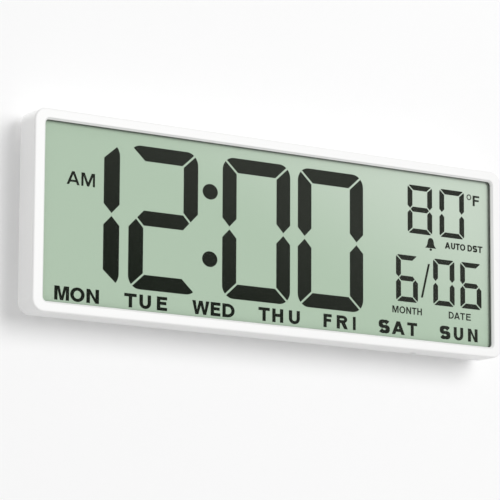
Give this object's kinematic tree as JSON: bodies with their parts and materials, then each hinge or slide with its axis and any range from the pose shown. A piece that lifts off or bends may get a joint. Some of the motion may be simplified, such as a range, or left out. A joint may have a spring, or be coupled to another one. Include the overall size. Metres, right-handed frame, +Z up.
{
  "type": "digital day clock",
  "caption": "Wide wall and table clock with a large day, time, date and temperature display, push buttons, battery door and fold-out legs.",
  "frame": {"origin": "on the table under the middle of the case, at the bottom centre of its box", "axes": "+X to the right seen from the front, +Y from the front to the back, +Z up"},
  "size_m": [0.364, 0.028, 0.127],
  "materials": {
    "case_white": "smooth satin white moulding with rounded edges",
    "cover_white": "fine spark-eroded texture",
    "leg_white": "fine spark-eroded texture",
    "button_grey": "satin",
    "steel": "plain turned steel",
    "black_foam": "closed-cell foam",
    "clear_window": "polished clear sheet",
    "film": "thin film",
    "display_glass": "polished",
    "display_green": "pale green display ground",
    "reflector": "diffuse reflector film",
    "display_dark": "switched-on segments",
    "inner_plastic": "natural moulding",
    "cell_jacket": "plain printed jacket",
    "spring_steel": "nickel plated",
    "board": "solder mask",
    "strip_rubber": "layered elastomer",
    "black_resin": "cured drop",
    "capacitor_sleeve": "shrunk sleeve",
    "black_moulding": "moulded",
    "sensor_resin": "dipped bead"
  },
  "bodies": {
    "case": {"battery_cells": "cell_jacket", "battery_contacts": "spring_steel", "battery_springs": "spring_steel", "board_screws": "steel", "capacitors": "capacitor_sleeve", "clock_crystal": "steel", "contact_strip": "strip_rubber", "cover_screws": "steel", "display_gasket": "black_foam", "display_window": "clear_window", "driver_chip": "black_resin", "front_frame": "case_white", "lcd_front_glass": "display_glass", "lcd_front_polarizer": "film", "lcd_holder": "inner_plastic", "lcd_rear_glass": "display_green", "lcd_reflector": "reflector", "lcd_segments": "display_dark", "main_board": "board", "rear_cover": "cover_white", "sounder": "black_moulding", "stand_pins": "steel", "tact_switches": "black_moulding", "temperature_sensor": "sensor_resin"},
    "door": {"battery_door": "cover_white"},
    "left_leg": {"stand_leg_left": "leg_white"},
    "right_leg": {"stand_leg_right": "leg_white"},
    "time_key": {"time_button": "button_grey", "time_plunger": "black_moulding"},
    "calendar_key": {"calendar_button": "button_grey", "calendar_plunger": "black_moulding"},
    "alarm_key": {"alarm_button": "button_grey", "alarm_plunger": "black_moulding"},
    "up_key": {"up_button": "button_grey", "up_plunger": "black_moulding"},
    "down_key": {"down_button": "button_grey", "down_plunger": "black_moulding"}
  },
  "joints": [
    {"name": "battery_door_hinge", "type": "hinge", "parent": "case", "child": "door", "pos_m": [0, 0.014, 0.0527], "axis": [-1, 0, 0], "range_deg": [0, 60]},
    {"name": "time_press", "type": "slide", "parent": "case", "child": "time_key", "axis": [0, -1, 0], "range_m": [0, 0.0008], "stiffness_N_per_m": 800, "springref_m": -0.0005},
    {"name": "calendar_press", "type": "slide", "parent": "case", "child": "calendar_key", "axis": [0, -1, 0], "range_m": [0, 0.0008], "stiffness_N_per_m": 800, "springref_m": -0.0005},
    {"name": "alarm_press", "type": "slide", "parent": "case", "child": "alarm_key", "axis": [0, -1, 0], "range_m": [0, 0.0008], "stiffness_N_per_m": 800, "springref_m": -0.0005},
    {"name": "up_press", "type": "slide", "parent": "case", "child": "up_key", "axis": [0, -1, 0], "range_m": [0, 0.0008], "stiffness_N_per_m": 800, "springref_m": -0.0005},
    {"name": "down_press", "type": "slide", "parent": "case", "child": "down_key", "axis": [0, -1, 0], "range_m": [0, 0.0008], "stiffness_N_per_m": 800, "springref_m": -0.0005},
    {"name": "left_leg_hinge", "type": "hinge", "parent": "case", "child": "left_leg", "pos_m": [-0.125, 0.0122, 0.016], "axis": [-1, 0, 0], "range_deg": [0, 105]},
    {"name": "right_leg_hinge", "type": "hinge", "parent": "case", "child": "right_leg", "pos_m": [0.125, 0.0122, 0.016], "axis": [-1, 0, 0], "range_deg": [0, 105]}
  ]
}
